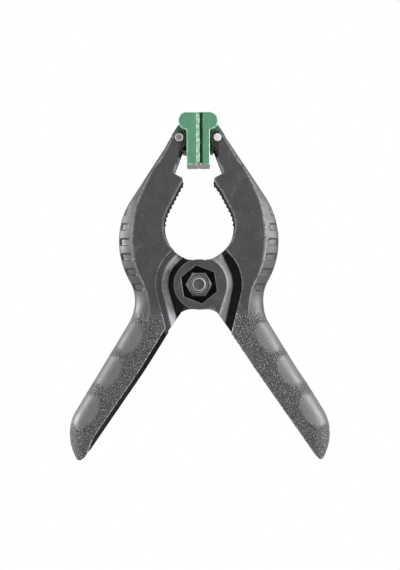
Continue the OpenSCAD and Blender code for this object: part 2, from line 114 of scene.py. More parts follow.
# Ears, and the boss and pocket round the pivot
ear_floor, inner_ear, ear_gap, ear_radius, ear_under = 2.5, 2.6, 0.25, 10.8, 0.8
neck_radius, fillet, fillet_spread = 12.1, 3.7, 0.13
boss_round, groove_share = 2.6, 0.6
pocket_gap, pocket_round, pocket_roll, pocket_brim = 1.6, 3.7, 2.6, 0.3
recess_flats, recess_turn, recess_depth = 14.4, radians(8.3), 5.6
recess_chamfer, recess_margin, recess_fillet = 0.4, 0.9, 0.3
spigot_radius, spigot_length, spigot_chamfer = 5.2, 2.6, 0.4
NECK_TOP = radians(75)
FLARE_LIMIT = 1.1

# Teeth of the throat
TOOTH_COUNT, FINE_COUNT, FINE_SHARE = 10, 7, 0.55
tooth_pitch, tooth_radius, tooth_proud = 2.12, 0.58, 0.2
TEETH_END = radians(52)
neck_rise, neck_web, web_margin = 56.0, 1.0, 1.6
web_foot_fade, web_end_fade = 5.0, 8.0

# Pads
pad_depth, pad_height, pad_top = 26.0, 22.7, 10.95
pad_gap, parting = 0.3, 0.03
head_rise, head_reach = 7.6, 8.6
pad_rim, rim_lead = 0.4, 0.15
neck_overlap, neck_round, neck_lift = 0.5, 0.12, 0.3
bevel_width = {"left": 0.85, "right": 2.15}
bevel_depth = {"left": 1.5, "right": 3.4}
lug_half, lug_proud, lug_shoulder, lug_top = 7.6, 0.6, 2.3, 3.4
stop_reach, stop_top, stop_drop, stop_lean = 6.9, 2.8, 6.3, 0.2
stop_half = {"left": 3.0, "right": 5.0}
stop_chamfer, stop_toe_reach, stop_toe_rise = 0.9, 0.5, 1.2
core_inset, core_back, core_end = 0.45, 0.3, 0.5
core_foot, core_top, core_round = 0.05, 0.6, 0.1
flash_reach, flash_back, flash_ripple = 0.6, 0.95, 0.1
flash_front, flash_rear, flash_foot, flash_top, flash_round = 0.2, 1.7, 0.8, 0.05, 0.12
pin_d, pin_proud = 3.5, 0.3

# Bolt, nut and spring
bolt_r, bolt_play, bolt_proud, dish = 3.0, 0.05, 0.4, 0.15
nut_flats, nut_height, head_height = 10.0, 5.0, 4.0
chamfer_slope, chamfer_radius = 0.7, 4.6
wire_d, coil_radius, coil_pitch, coil_turns, coil_clearance = 2.3, 6.75, 2.8, 3, 0.3
leg_drop, leg_gap = 30.0, 0.3
point_radius = 0.01

# How finely the meshes are cut
CORNER, FACE, BACK = 26, 14, 10
HALF_FACE = FACE // 2
RISE, FINE_RISE = 0.6, 0.3
TIP_STEP, TIP_SHARE = 8, 0.9995
TURN, SPIGOT_SIDES, PIN_SIDES, HEX_TURN, WIRE_SIDES = 288, 72, 48, 180, 20
WEB_STEPS, BROW_STEPS, ROLL_STEPS = 420, 6, 6
EDGE_STEPS, LOBE_STEPS, TOP_STEPS, GRIP_STEPS = 8, 28, 4, 16
RIM_STEPS, LUG_STEPS, LUG_FADE_STEPS, FLASH_STEPS = 5, 20, 8, 40
COIL_STEP, SPRING_STEP = radians(7), 0.01


def sub(a, b):
    return (a[0] - b[0], a[1] - b[1])


def along(a, d, s):
    return (a[0] + d[0] * s, a[1] + d[1] * s)


def mix(a, b, t):
    return a + (b - a) * t


def smooth(t):
    u = min(max(t, 0.0), 1.0)
    return u * u * (3 - 2 * u)


def chord(radius, away):
    return sqrt(max(radius * radius - away * away, 0.0))


def normal(lean):
    return (cos(lean), sin(lean))


def evenly(a, b, n):
    """Values from a to b in n even steps."""
    return [mix(a, b, i / n) for i in range(n + 1)]


def circle(r, w, n=HEX_TURN, centre=(0.0, 0.0)):
    """Points of a circle at height w."""
    return [(centre[0] + r * cos(a), centre[1] + r * sin(a), w) for a in evenly(0, 2 * pi, n)[:-1]]


def tangent_lean(a, b, reach):
    """Lean of the line that leaves one circle and touches the next."""
    run = sub(b, a)
    return atan2(run[1], run[0]) - acos(reach / hypot(*run))


def touching(centre, radius, lean, h):
    """Reach, at height h, of the line of that lean that touches a circle."""
    return centre[0] + (radius - (h - centre[1]) * sin(lean)) / cos(lean)


# Outline

pin_at = (pin_reach, pin_rise)
knuckle_at = (knuckle_reach - knuckle_radius, knuckle_rise)
waist_in = knuckle_reach - waist_reach
waist_down = knuckle_rise + waist_drop
waist_radius = (waist_in ** 2 + waist_down ** 2) / (2 * waist_in) - knuckle_radius
waist_at = (waist_reach + waist_radius, -waist_drop)
flare_at = (waist_reach + flare_radius, -waist_drop)
heel_at = (heel_reach - heel_radius, heel_rise - pivot_height)
throat_at = (0.0, throat_rise)
brow_at = (brow_reach + brow_round, brow_rise)
notch_at = (notch_reach, notch_rise)
arm_lean = tangent_lean(knuckle_at, pin_at, knuckle_radius - fork_radius)
handle_lean = tangent_lean(heel_at, flare_at, heel_radius + flare_radius)
tooth_lean = tangent_lean(throat_at, brow_at, throat_radius + brow_round)
shelf_lean = pi - tangent_lean((-notch_at[0], notch_at[1]), (-brow_at[0], brow_at[1]), brow_round)
neck_lean = tangent_lean(notch_at, pin_at, fork_radius)
swell_lean = atan2(waist_down, waist_at[0] - knuckle_at[0])
arm_top = pin_rise + fork_radius * sin(arm_lean)
arm_foot = knuckle_rise + knuckle_radius * sin(arm_lean)
swell_foot = knuckle_rise - knuckle_radius * sin(swell_lean)
handle_top = -waist_drop - flare_radius * sin(handle_lean)
handle_foot = heel_at[1] + heel_radius * sin(handle_lean)
neck_top = pin_rise - fork_radius * sin(neck_lean)
tooth_foot = throat_rise + throat_radius * sin(tooth_lean)
brow_foot = brow_rise - brow_round * sin(tooth_lean)
brow_top = brow_rise - brow_round * sin(shelf_lean)
throat_foot = throat_rise - chord(throat_radius, crotch_reach)


def back(h):
    """Reach of a lever's back at height h."""
    if h > arm_top:
        return pin_reach + chord(fork_radius, h - pin_rise)
    if h > arm_foot:
        return touching(knuckle_at, knuckle_radius, arm_lean, h)
    if h > swell_foot:
        return knuckle_at[0] + chord(knuckle_radius, h - knuckle_rise)
    if h > -waist_drop:
        return waist_at[0] - chord(waist_radius, h + waist_drop)
    if h > handle_top:
        return flare_at[0] - chord(flare_radius, h + waist_drop)
    if h > handle_foot:
        return touching(heel_at, heel_radius, handle_lean, h)
    return heel_at[0] + chord(heel_radius, h - heel_at[1])


foot_reach = back(-pivot_height) - foot_flat


def edge(h):
    """Reach of the edges of a lever's side walls."""
    if h > neck_top:
        return pin_reach - chord(fork_radius, h - pin_rise)
    if h > notch_rise:
        return touching(notch_at, 0, neck_lean, h)
    if h > brow_top:
        return touching(notch_at, 0, shelf_lean, h)
    if h > brow_foot:
        return brow_at[0] - chord(brow_round, h - brow_rise)
    if h > tooth_foot:
        return touching(throat_at, throat_radius, tooth_lean, h)
    if h > throat_foot:
        return chord(throat_radius, h - throat_rise)
    if h > -crotch_drop:
        return crotch_reach
    return mix(foot_reach, crotch_reach, (h + pivot_height) / (pivot_height - crotch_drop))


def handle_edge(h, side):
    """Reach of a handle's long edge, which swells a little below the crotch."""
    swell = edge_swell[side] * smooth((-crotch_drop - h) / swell_fade)
    return edge(h) - swell * smooth((h + pivot_height) / foot_zone + foot_swell_share)


def trim(h, side):
    """How much slimmer than its outline a lever is at height h."""
    amount, low, low_fade, high, high_fade = TRIMS[side]
    return amount * smooth((h - low) / low_fade) * smooth((high - h) / high_fade)


def ring_edge(h):
    """Reach of the step round the pivot: a circle that runs straight on towards the crotch."""
    low = radians(RING_LOW)
    if h > ring_radius * sin(low):
        return chord(ring_radius, h)
    return (ring_radius - h * sin(low)) / cos(low)


def setback(h):
    """How far the back wall's edge stands behind the front one along the handle."""
    return wall_setback * smooth((-crotch_drop - h) / wall_fade) * smooth((h + pivot_height) / heel_rise)


def half_depth(h):
    if h > 0:
        return mix(lever_depth, fork_depth, smooth((h - ring_radius) / (pin_rise - ring_radius))) / 2
    return mix(lever_depth, tip_depth, smooth((-h - ring_radius) / (pivot_height - ring_radius))) / 2


def slant(h, step):
    """How much longer a thickness is along x than square to the back."""
    return hypot(1, (back(h + step) - back(h - step)) / (2 * step))


def band(h):
    """Breadth of the rounding along the back."""
    if h > 0:
        return mix(fork_band, waist_band, smooth((band_top - h) / band_rise))
    return mix(waist_band, handle_band, smooth(-h / band_fade))


# Along the bolt, from the coil outwards

leg_end = (back(-leg_drop) - (spine + leg_gap + wire_d / 2) * slant(-leg_drop, SPRING_STEP), -leg_drop)
leg_angle = atan2(leg_end[1], leg_end[0]) + acos(coil_radius / hypot(*leg_end))
coil_sweep = pi - 2 * leg_angle + 2 * pi * coil_turns
coil_half = coil_pitch * coil_sweep / (2 * pi) / 2
inner_back = coil_half + wire_d / 2 + coil_clearance
inner_face = inner_back + inner_ear
outer_back = inner_face + ear_gap
outer_face = outer_back + ear_floor
boss_half = outer_face + recess_depth
groove_floor = outer_back + ear_floor * groove_share
skin_face = lever_depth / 2 - ring_step
boss_radius = neck_radius + boss_round
pocket_radius = ear_radius + pocket_gap


# Materials

def material(name):
    m = bpy.data.materials.new(name)
    m.use_nodes = True
    tree = m.node_tree
    return m, tree, tree.nodes["Principled BSDF"]


def add(tree, kind, inputs=None, **settings):
    """A node with its settings and inputs; an input is a number, a colour or another node's output."""
    n = tree.nodes.new(f"ShaderNode{kind}")
    for key, value in settings.items():
        setattr(n, key, value)
    for key, value in (inputs or {}).items():
        if isinstance(value, bpy.types.NodeSocket):
            tree.links.new(value, n.inputs[key])
        else:
            n.inputs[key].default_value = value
    return n


def srgb(r, g, b):
    def one(c):
        c /= 255
        return c / 12.92 if c <= 0.04045 else ((c + 0.055) / 1.055) ** 2.4
    return (one(r), one(g), one(b), 1)


def object_place(tree):
    return add(tree, "TexCoord").outputs["Object"]


def noise(tree, place, scale, detail, output="Fac"):
    inputs = {"Vector": place, "Scale": scale, "Detail": detail}
    return add(tree, "TexNoise", inputs).outputs[output]


def layered(tree, tone, *layers):
    """The tone with colours laid over it, each as (how much of it shows, colour)."""
    for share, colour in layers:
        tone = add(tree, "Mix", {0: share, 6: tone, 7: colour}, data_type="RGBA").outputs[2]
    return tone


def spread(tree, value, low, high, to_low=0.0, to_high=1.0):
    """The value, stretched from one range to another."""
    return add(tree, "MapRange", {0: value, 1: low, 2: high, 3: to_low, 4: to_high}).outputs["Result"]


def maths(tree, operation, a, b, kind="Math"):
    return add(tree, kind, {0: a, 1: b}, operation=operation).outputs[0]


def mark(tree, name):
    """A mark that the mesh carries at each point, from 0 to 1."""
    return add(tree, "Attribute", attribute_name=name).outputs["Fac"]


def wear_and_glint_share(tree, place, scale, low, high):
    """How much the wear and painted highlight show: the mark that says where, broken up by noise."""
    return maths(tree, "MULTIPLY", mark(tree, "worn_and_glint"), spread(tree, noise(tree, place, scale, 4), low, high))


def finished(tree, shader, tone, rough, strength, bump_height, height):
    """Links a material's tone, its roughness and its bumps."""
    tree.links.new(tone, shader.inputs["Base Color"])
    tree.links.new(rough, shader.inputs["Roughness"])
    bump = add(tree, "Bump", {"Strength": strength, "Distance": bump_height, "Height": height})
    tree.links.new(bump.outputs["Normal"], shader.inputs["Normal"])


def nylon_material():
    """Dark moulded nylon: cloudy, scuffed, pebbled on the handles, lightened at the edges by wear and painted
    highlight, with painted sheen and painted shade where the mesh marks say.
    """
    # The darkest tone is painted shade for hollows and the channel, the palest is edge wear with painted
    # highlight, and the sheen tone is a painted highlight
    dark, light, painted_shade = srgb(33, 33, 34), srgb(44, 44, 45), srgb(12, 12, 13)
    specks, scuffs, wear_and_glint = srgb(76, 76, 79), srgb(104, 105, 109), srgb(176, 178, 182)
    pebble, furrow, sheen = srgb(84, 84, 87), srgb(22, 22, 23), srgb(114, 114, 117)
    cloud_scale, speck_scale, scuff_scale, rag_scale = 160, 2600, 420, 900
    pebble_scale, warp_scale, warp_size, scuff_stretch = 880, 500, 0.0016, 0.35
    pebble_share, speck_share, shade_roughness, bump_height = 0.5, 0.16, 0.45, 0.00022
    m, tree, shader = material("nylon")
    place = object_place(tree)
    cloud = noise(tree, place, cloud_scale, 5)
    speck = noise(tree, place, speck_scale, 2)
    drawn = add(tree, "Mapping", {"Vector": place, "Scale": (1, 1, scuff_stretch)}).outputs[0]
    scuff = noise(tree, drawn, scuff_scale, 6)
    warp = noise(tree, place, warp_scale, 2, "Color")
    warp = maths(tree, "MULTIPLY", warp, (warp_size,) * 3, "VectorMath")
    warped = maths(tree, "ADD", place, warp, "VectorMath")
    cells = add(tree, "TexVoronoi", {"Vector": warped, "Scale": pebble_scale},
                feature="DISTANCE_TO_EDGE").outputs["Distance"]
    pebbled, shade = mark(tree, "pebbled"), mark(tree, "shade")
    tone = layered(
        tree, dark,
        (spread(tree, cloud, 0.35, 0.65), light),
        (spread(tree, speck, 0.45, 0.75, 0, 0.55), specks),
        (spread(tree, scuff, 0.62, 0.8, 0, 0.5), scuffs),
        (maths(tree, "MULTIPLY", pebbled, pebble_share), pebble),
        (maths(tree, "MULTIPLY", pebbled, spread(tree, cells, 0.14, 0.03, 0, 0.85)), furrow),
        (mark(tree, "lit"), sheen),
        (shade, painted_shade),
        (wear_and_glint_share(tree, place, rag_scale, 0.3, 0.55), wear_and_glint))
    # Where shade is painted, the surface is also made rougher
    shading = maths(tree, "MULTIPLY", shade, shade_roughness)
    rough = maths(tree, "ADD", spread(tree, cloud, 0.3, 0.7, 0.42, 0.56), shading)
    grain = maths(tree, "MULTIPLY", spread(tree, cells, 0.03, 0.3), pebbled)
    height = maths(tree, "ADD", maths(tree, "MULTIPLY", speck, speck_share), grain)
    finished(tree, shader, tone, rough, 1.0, bump_height, height)
    return m, "nylon"


def pad_material():
    """Green moulded plastic with a slight mottle, rims whitened by wear and painted highlight, and painted
    shade where the shade mark is.
    """
    # The whitest tone is wear with painted highlight and the darkest is painted shade
    dark, light, wear_and_glint, painted_shade = srgb(68, 116, 88), srgb(76, 125, 97), srgb(186, 226, 198), srgb(34, 58, 44)
    cloud_scale, rag_scale, fine_scale, bump_height = 300, 700, 2200, 0.00012
    m, tree, shader = material("pad_plastic")
    place = object_place(tree)
    cloud = noise(tree, place, cloud_scale, 4)
    tone = layered(tree, dark, (spread(tree, cloud, 0.3, 0.7), light),
                   (wear_and_glint_share(tree, place, rag_scale, 0.3, 0.6), wear_and_glint), (mark(tree, "shade"), painted_shade))
    rough = spread(tree, cloud, 0.3, 0.7, 0.38, 0.5)
    finished(tree, shader, tone, rough, 0.5, bump_height, noise(tree, place, fine_scale, 3))
    return m, "pad_plastic"


def fine_material(name, slot_name, light, dark, metallic, roughness, scale, bump_height):
    """Cloudy metal, or the pads' grey core, with bright edges of wear and painted highlight."""
    # bright is the tone of wear and painted highlight at the marked edges
    bright, fine_share, rough_spread = srgb(245, 244, 242), 4, 0.25
    m, tree, shader = material(name)
    place = object_place(tree)
    fine = noise(tree, place, scale * fine_share, 3)
    cloud = spread(tree, noise(tree, place, scale, 5), 0.3, 0.7)
    tone = layered(tree, srgb(*dark), (cloud, srgb(*light)), (mark(tree, "worn_and_glint"), bright))
    rough = spread(tree, fine, 0.3, 0.7, roughness * (1 - rough_spread), roughness * (1 + rough_spread))
    shader.inputs["Metallic"].default_value = metallic
    finished(tree, shader, tone, rough, 0.6, bump_height, fine)
    return m, slot_name


# Each look is a material and the name of its slot
nylon = nylon_material()
green = pad_material()
zinc = fine_material("zinc", "zinc", (134, 131, 127), (96, 94, 91), 0.4, 0.45, 700, 0.00005)
dull_zinc = fine_material("dull_zinc", "zinc", (78, 77, 76), (50, 49, 49), 0.5, 0.5, 900, 0.00008)
core = fine_material("pad_core", "pad_plastic", (190, 188, 184), (150, 150, 146), 0, 0.6, 900, 0.0001)
wire = fine_material("spring_steel", "spring_steel", (140, 138, 135), (104, 102, 100), 1, 0.34, 800, 0.00004)


# Mesh building

RIGHT = Matrix.Translation((0, 0, pivot_height)) @ Matrix.Rotation(radians(90), 4, "X")
PLACES = {"right": RIGHT, "left": Matrix.Rotation(pi, 4, "Z") @ RIGHT}


class Rings:
    """Closed rings of equal length, skinned one after another, with the material's marks at each point."""

    def __init__(self, *more_marks):
        self.points, self.faces, self.n = [], [], 0
        self.marks = {name: [] for name in ("worn_and_glint", "shade", "lit", *more_marks)}

    def bridge(self, a, b):
        """Skins the ring that starts at point a to the one that starts at point b."""
        n = self.n
        self.faces += [(a + i, a + (i + 1) % n, b + (i + 1) % n, b + i) for i in range(n)]

    def add(self, ring, *marks):
        """Adds a ring; a mark is one number for all its points or a number for each, and 0 if left out."""
        base, self.n = len(self.points), len(ring)
        self.points += ring
        for k, values in enumerate(self.marks.values()):
            value = marks[k] if k < len(marks) else 0.0
            values += [value] * self.n if isinstance(value, (int, float)) else list(value)
        if base:
            self.bridge(base - self.n, base)

    def close(self):
        """Skins the last ring to the first."""
        self.bridge(len(self.points) - self.n, 0)
        return self

    def cap(self):
        """Fills the first ring and the last."""
        self.faces += [tuple(range(base, base + self.n)) for base in (0, len(self.points) - self.n)]
        return self

    def cap_channel(self):
        """Fills the ends where a ring is a wall's outer line and then its inner line, run backwards."""
        for base in (0, len(self.points) - self.n):
            end = base + self.n - 1
            self.faces += [(base + i, base + i + 1, end - i - 1, end - i) for i in range(self.n // 2 - 1)]
        return self


def welded(points, faces):
    """Joins points that coincide; drops faces left without an area and pairs that lie on each other."""
    first, kept, to = {}, [], []
    for i, p in enumerate(points):
        key = tuple(round(c, 4) for c in p)
        if key not in first:
            first[key] = len(kept)
            kept.append(i)
        to.append(first[key])
    found = {}
    for f in faces:
        f = [to[i] for i in f]
        f = [v for k, v in enumerate(f) if v != f[k - 1]]
        if len(set(f)) > 2 and not found.pop(frozenset(f), None):
            found[frozenset(f)] = f
    return kept, list(found.values())


def placed(name, data):
    """Puts an object into the scene."""
    o = bpy.data.objects.new(name, data)
    scene.collection.objects.link(o)
    return o


def piece(name, rings, look, body, replaced=(), crease=35, place=RIGHT):
    """Makes a piece of points in millimetres, stood up by place, that rides on a body."""
    finish, slot_name = look
    mesh = bpy.data.meshes.new(name)
    kept, faces = welded(rings.points, rings.faces)
    mesh.from_pydata([place @ Vector(rings.points[i]) * MM for i in kept], [], faces)
    for key, values in rings.marks.items():
        layer = mesh.attributes.new(key, "FLOAT", "POINT")
        layer.data.foreach_set("value", [values[i] for i in kept])
    b = bmesh.new()
    b.from_mesh(mesh)
    bmesh.ops.recalc_face_normals(b, faces=b.faces)
    b.to_mesh(mesh)
    b.free()
    mesh.polygons.foreach_set("use_smooth", [True] * len(mesh.polygons))
    mesh.set_sharp_from_angle(angle=radians(crease))
    mesh.materials.append(finish)
    o = placed(name, mesh)
    if body:
        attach(o, body)
    if replaced:
        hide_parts(*replaced)
    return o


def on_side(side, name, rings, look, body="half", replaced=None, crease=35):
    """Makes a piece of one side, which may replace that side's solid."""
    replaced = [f"{side}_{replaced}"] if replaced else []
    piece(f"{side}_{name}", rings, look, f"{side}_{body}", replaced, crease, PLACES[side])


# Levers

def levels():
    """Heights of a lever's slices, which lie closer from the crotch to the brow and at the tip."""
    turns = [-pivot_height, foot_zone - pivot_height, -crotch_drop, throat_foot, tooth_foot, brow_foot,
             brow_top, notch_rise, neck_top, pin_rise]
    found = []
    for a, b in zip(turns, turns[1:]):
        rise = FINE_RISE if -crotch_drop <= a < brow_foot else RISE
        n = max(1, ceil((b - a) / rise))
        found += evenly(a, b, n)[:-1]
    found += [pin_rise + fork_radius * sin(radians(a)) for a in range(0, 90, TIP_STEP)]
    return found + [pin_rise + fork_radius * TIP_SHARE]


def corner(t, width, depth, crisp):
    """Point of the rounding, from the face at t = 0 to the back at t = 1, measured in from both.

    It is an arc where crisp is 0, and stays near the face, with a crisp edge, where it is 1."""
    pull_x, pull_d = CRISP_PULL_SHARES[0] * width * crisp, CRISP_PULL_SHARES[1] * depth * crisp
    x = (1 - t) ** 2 * -width + 2 * t * (1 - t) * pull_x
    d = 2 * t * (1 - t) * pull_d + t * t * depth
    return x, d


def grip(h, x_in, width, behind):
    """Depth of the grip recesses, and the painted shade along their upper edges."""
    deepest = shading = 0.0
    for i, (reach, share) in enumerate(GRIPS):
        above, end = h - grip_top + i * grip_pitch - (grip_shift if behind else 0), reach * width
        inward = max(0.0, (x_in - end) / grip_end + 1)
        inside = smooth((1.0 - hypot(above / (grip_width / 2), inward)) / GRIP_SIDE_SHARE)
        deepest = max(deepest, share * inside * smooth((x_in - grip_start) / grip_fade))
        if above > 0 and grip_start < x_in < end:
            shading = max(shading, share * (1 - abs(above - grip_width / 2) / grip_shade_band))
    return deepest * grip_depth, shading


def oval(x, h):
    """1 inside a handle's smooth ovals, 0 outside."""
    found, (lean_x, lean_h) = 0.0, OVAL_LEAN
    for x_at, h_at, length, breadth in OVALS:
        run, rise = x - x_at, h - h_at
        away = hypot((run * lean_x - rise * lean_h) / length, (run * lean_h + rise * lean_x) / breadth)
        found = max(found, smooth((OVAL_RIM - away) / OVAL_FADE_SHARE))
    return found


def pebbles(x, h):
    """1 where a handle has its pebbled grain."""
    return smooth((grain_top - h + (back(h) - x) * GRAIN_LEAN) / grain_fade) * (1 - oval(x, h))


def section(h, side):
    """Sizes of a lever's section at height h."""
    s = SimpleNamespace(h=h)
    s.reach = back(h) - trim(h, side)
    slack = throat_slack[side] * smooth((h - slack_foot) / slack_foot_fade)
    slack *= smooth((brow_foot - h) / slack_brow_fade)
    s.open_edge = max(handle_edge(h, side), ring_edge(h)) + slack
    s.near = max(handle_edge(h, side) + setback(h), ring_edge(h)) + slack
    s.width = min(band(h), (s.reach - s.near) * roll_share)
    s.depth = s.width * roll_share
    s.deep = half_depth(h)
    s.floor_at = max(s.reach - spine * slant(h, SLOPE_STEP), s.near + least_room)
    s.inner_width = min(max(s.width - spine, least_rounding), (s.floor_at - s.near) / 2)
    s.inner_depth = max(s.depth - wall, least_rounding)
    s.crisp = smooth((h - crisp_foot) / crisp_fade)
    return s


def face_points(s, start):
    """Reach and rebate of the points across a side wall's face, and whether it is cut for the step."""
    flat_end = s.reach - s.width
    near_end = max(step_at, start + least_near)
    if s.h <= notch_rise + rebate_rise or near_end >= flat_end:
        return [(x, 0.0) for x in evenly(start, flat_end, FACE)[:-1]], False
    drop = rebate if start < step_at - least_rebate else 0.0
    rest = evenly(near_end + step_run, flat_end, FACE - HALF_FACE - 1)[:-1]
    return [(x, drop) for x in evenly(start, near_end, HALF_FACE)] + [(x, 0.0) for x in rest], True


def outer_wall(s, front, start):
    """A side wall's outer skin, from its edge to the back, as (point, wear with painted highlight, painted
    shade, painted sheen, pebbled).
    """
    h, rows = s.h, []
    # Edges lightened by wear and painted highlight, strongest along the handles
    edge_wear_and_glint, wear_and_glint_run = (0.95 if h < -crotch_drop else 0.35), 0.5
    # Painted shade in a strip along the fork's edge beside the pads
    edge_shade, shade_run = 0.85 * smooth((h - notch_rise - 6) / 2), 0.8
    # Painted sheen on the smooth ovals
    face_lit, back_lit = 0.62, 0.17
    # A line of wear and painted highlight at the rounding's crisp edge, and painted shade along the grips'
    # upper edges
    ridge_wear_and_glint, grip_shade, skew = {0: 0.45, 1: 0.1}, 0.6, 0.4
    places, stepped = face_points(s, start)
    for i, (x, drop) in enumerate(places):
        worn_and_glint = 0.0 if stepped and i else edge_wear_and_glint * max(0.0, 1 - (x - start) / wear_and_glint_run)
        shade = edge_shade if x - start < shade_run else 0.0
        rows.append(((x, h, front * (s.deep - drop)), worn_and_glint, shade, face_lit * oval(x, h), pebbles(x, h)))
    for i in range(CORNER + 1):
        t = i / CORNER
        x, d = corner(t, s.width, s.depth, s.crisp)
        cut, shading = grip(h, -x, s.width, front < 0) if 0 < i < CORNER else (0.0, 0.0)
        point = (s.reach + x - cut * t, h, front * (s.deep - d - cut * (1 - t)))
        at = s.reach + x - d * skew
        rows.append((point, s.crisp * ridge_wear_and_glint.get(i, 0.0), grip_shade * shading,
                     oval(at, h) * mix(face_lit, back_lit, t), pebbles(at, h)))
    return rows


def inner_wall(s, front, start):
    """Points of a side wall's inner skin, from its edge to the channel's floor."""
    deep = s.deep - wall
    points = [(x, s.h, front * deep) for x in evenly(start, s.floor_at - s.inner_width, FACE)[:-1]]
    for t in evenly(0, 1, CORNER):
        x, d = corner(t, s.inner_width, s.inner_depth, 0)
        points.append((s.floor_at + x, s.h, front * (deep - d)))
    return points


def lever_shell(side):
    """The lever's open-backed shell, skinned through its sections from the foot to the fork."""
    # Painted sheen on the spine beside the ovals, and painted shade on the channel's lining below the notch
    spine_lit, lining_shade, skew = 0.1, 0.6, 0.4
    rings = Rings("pebbled")
    for h in levels():
        s = section(h, side)
        across = evenly(1, -1, BACK)[1:-1]
        at = s.reach - skew * s.depth
        marks = (0.0, 0.0, spine_lit * oval(at, h), pebbles(at, h))
        rows = outer_wall(s, 1, s.open_edge)
        rows += [((s.reach, h, (s.deep - s.depth) * share), *marks) for share in across]
        rows += outer_wall(s, -1, s.near)[::-1]
        lining = inner_wall(s, 1, s.open_edge)
        lining += [(s.floor_at, h, (s.deep - wall - s.inner_depth) * share) for share in across]
        lining += inner_wall(s, -1, s.near)[::-1]
        shade = lining_shade if h < notch_rise else 0.0
        rows += [(point, 0.0, shade, 0.0, 0.0) for point in lining[::-1]]
        rings.add(*zip(*rows))
    on_side(side, "lever_shell", rings.cap_channel(), nylon, replaced="lever")


# Ears: stacks of rings round the pivot, ended by the throat, or outside the neck by the round ear.

boss_top = ear_radius - 0.05
crotch_angle = atan2(-crotch_drop, crotch_reach + rim)


def flared(radius, low, high=180):
    """A round about the pivot that runs straight on beyond its low and high angles, in degrees."""
    low, high = radians(low), radians(high)

    def at(a):
        return radius / cos(min(max(0.0, low - a, a - high), FLARE_LIMIT))
    return at


def between(inner, outer, t):
    """A round a share t of the way from one round to another."""
    return lambda a: mix(inner(a), outer(a), t)


ring_end = flared(ring_radius + ear_under, RING_LOW)


def limit(angle):
    """Where a ray from the pivot leaves the lever's ear."""
    if crotch_angle < angle < NECK_TOP:
        reach = ring_end(angle)
    else:
        reach = ear_radius + (fillet * exp((angle - crotch_angle) / fillet_spread) if angle < 0 else 0)
    rise, radius = throat_rise * sin(angle), throat_radius + rim
    inside = rise * rise - throat_rise ** 2 + radius ** 2
    if rise > 0 and inside > 0:
        reach = min(reach, max(rise - sqrt(inside), boss_top / sin(angle)))
    return reach


def turned(profile, sign=1, plate=None):
    """Closed rings of (radius, w, marks); a radius is a number or a function of the angle.

    plate is the height of the bare plate, beyond which nothing stands where the ear has no neck."""
    rings = Rings()
    for radius, w, *marks in profile:
        ring = []
        for i in range(TURN):
            a = pi * 2 * i / TURN - pi
            r = radius(a) if callable(radius) else radius
            end = limit(a)
            in_neck = crotch_angle < a < NECK_TOP and end >= pocket_radius + pocket_brim
            height = min(w, plate) if plate is not None and r > end and not in_neck else w
            r = min(r, end)
            ring.append((r * cos(a), r * sin(a), sign * height))
        rings.add(ring, *marks)
    return rings.close()


def hexagon(flats, turn):
    """Radius of a hexagon at an angle."""
    def radius(a):
        part = (a - turn + pi / 6) % (pi / 3) - pi / 6
        return flats / 2 / cos(part)
    return radius


def recess(more):
    """The boss's hexagonal recess, larger by so much across its flats."""
    return hexagon(recess_flats + more, recess_turn)


def shaded(rows, shade):
    return [(radius, w, 0, shade) for radius, w in rows]


# Each row is a share of the way from the neck to the boss's foot, or from the pocket to its brim,
# a drop from the face, and the marks there: wear with painted highlight, painted shade and painted highlight
BOSS_FLANK = ((0.97, 4.2, 0, 0.7), (0.9, 3.0), (0.7, 2.2, 0, 0, 0.2), (0.4, 1.25, 0, 0, 0.2),
              (0.12, 0.4, 0.2, 0, 0.2), (0.03, 0.12, 0.4), (-0.05, 0, 0.3), (-0.16, 0))
POCKET_BRIM = ((1.5, 0), (1.1, 0), (0.98, 0.08, 0, 0, 0.6))
POCKET_FOOT = ((0.24, 0.4, 0.1, 0, 0.8), (0.2, 0.9, 0, 0.9))


def outer_ear(side):
    """The ear that shows: a groove's floor, and the boss with its hexagonal recess, with painted shade in the
    groove and the recess and painted highlight on the boss's flank.
    """
    # Painted shade on the groove's floor and in the recess
    groove_shade, recess_shade = 0.9, 0.8
    foot_share, foot_lift, lip = 1.05, 0.4, 0.35
    hexed = recess(0)
    inner, outer = flared(neck_radius, -18), flared(boss_radius, -11.5, 24)

    def flank(t):
        return between(inner, outer, t) if t > 0 else lambda a: inner(a) + boss_round * t
    profile = [(bolt_r, outer_back)]
    profile += shaded([(ring_end, outer_back), (ring_end, groove_floor), (flank(foot_share), groove_floor),
                       (flank(1), groove_floor + foot_lift)], groove_shade)
    profile += [(flank(t), boss_half - drop, *marks) for t, drop, *marks in BOSS_FLANK]
    profile += [(ear_radius - lip, boss_half), (recess(recess_margin), boss_half),
                (recess(recess_chamfer), boss_half, 0.15), (hexed, boss_half - 0.2, 0.2)]
    profile += shaded([(hexed, boss_half - 0.5), (hexed, outer_face + 0.2),
                       (lambda a: hexed(a) - recess_fillet, outer_face), (bolt_r, outer_face)], recess_shade)
    on_side(side, "lever_outer_ear", turned(profile), nylon, crease=30)


